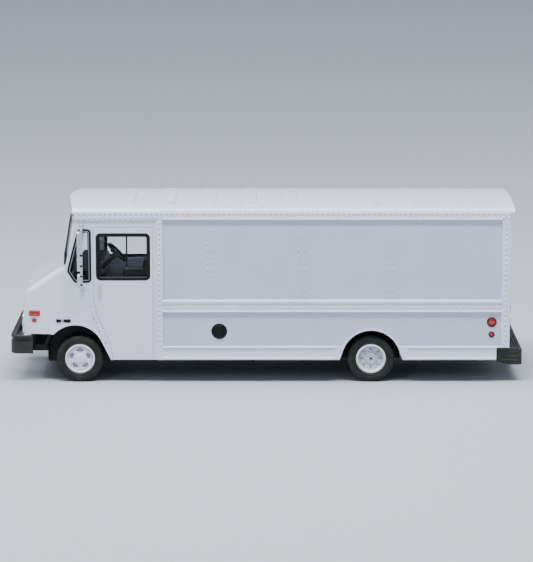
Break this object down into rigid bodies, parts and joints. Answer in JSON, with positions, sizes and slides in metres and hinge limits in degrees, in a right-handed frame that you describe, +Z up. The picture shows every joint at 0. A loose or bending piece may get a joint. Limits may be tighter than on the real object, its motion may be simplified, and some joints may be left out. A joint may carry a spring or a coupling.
{
  "type": "mail delivery truck scale model",
  "caption": "Die-cast 1:64 walk-in mail delivery truck: white cast body, clear windows, black cab and base, and free-rolling wheels on two steel axles.",
  "frame": {"origin": "on the ground plane under the tyres, midway between the bumper faces, on the truck's centre plane", "axes": "+X toward the rear bumper, +Y toward the truck's right side, +Z up"},
  "size_m": [0.1346, 0.0444, 0.0476],
  "materials": {
    "white_enamel": "gloss white enamel on a zinc casting",
    "clear_windows": "clear moulded polystyrene",
    "cab_black": "black moulded plastic",
    "base_black": "black moulded plastic",
    "bumper_black": "black moulded plastic, satin",
    "trim_black": "gloss black",
    "silver_paint": "silver paint",
    "lamp_glass": "clear lens",
    "amber_lens": "amber lens",
    "red_lens": "red lens",
    "wheel_white": "gloss white",
    "tyre_rubber": "soft black rubber",
    "axle_steel": "drawn steel pin",
    "screw_steel": "zinc-plated screw"
  },
  "bodies": {
    "body": {"base_screws": "screw_steel", "body_shell": "white_enamel", "chassis_base": "base_black", "door_handle_left": "silver_paint", "door_handle_right": "silver_paint", "driver_seat": "cab_black", "front_bumper": "bumper_black", "fuel_cap": "trim_black", "glazing": "clear_windows", "grille": "trim_black", "headlamp_bezel_left": "silver_paint", "headlamp_bezel_right": "silver_paint", "headlamp_lens_left": "lamp_glass", "headlamp_lens_right": "lamp_glass", "hood_latch_left": "trim_black", "hood_latch_right": "trim_black", "interior_tub": "cab_black", "mirror_arm_left": "silver_paint", "mirror_arm_right": "silver_paint", "mirror_heads_left": "silver_paint", "mirror_heads_right": "silver_paint", "rear_bumper": "bumper_black", "rear_door_handle": "silver_paint", "rear_side_lamps_left": "red_lens", "rear_side_lamps_right": "red_lens", "roof_lamps_front": "amber_lens", "roof_lamps_rear": "red_lens", "running_gear": "base_black", "side_marker_left": "red_lens", "side_marker_right": "red_lens", "steering_wheel": "cab_black", "tail_lamps_left": "red_lens", "tail_lamps_right": "red_lens", "turn_lamp_left": "amber_lens", "turn_lamp_right": "amber_lens", "wiper_left": "trim_black", "wiper_right": "trim_black"},
    "front_wheelset": {"front_axle": "axle_steel", "front_hub_left": "wheel_white", "front_hub_right": "wheel_white", "front_tyre_left": "tyre_rubber", "front_tyre_right": "tyre_rubber"},
    "rear_wheelset": {"rear_axle": "axle_steel", "rear_hub_left": "wheel_white", "rear_hub_right": "wheel_white", "rear_outer_tyre_left": "tyre_rubber", "rear_outer_tyre_right": "tyre_rubber", "rear_inner_tyre_left": "tyre_rubber", "rear_inner_tyre_right": "tyre_rubber"}
  },
  "joints": [
    {"name": "front_axle_roll", "type": "hinge", "parent": "body", "child": "front_wheelset", "pos_m": [-0.0491, 0, 0.0062], "axis": [0, 1, 0], "continuous": true},
    {"name": "rear_axle_roll", "type": "hinge", "parent": "body", "child": "rear_wheelset", "pos_m": [0.0275, 0, 0.0062], "axis": [0, 1, 0], "continuous": true}
  ]
}
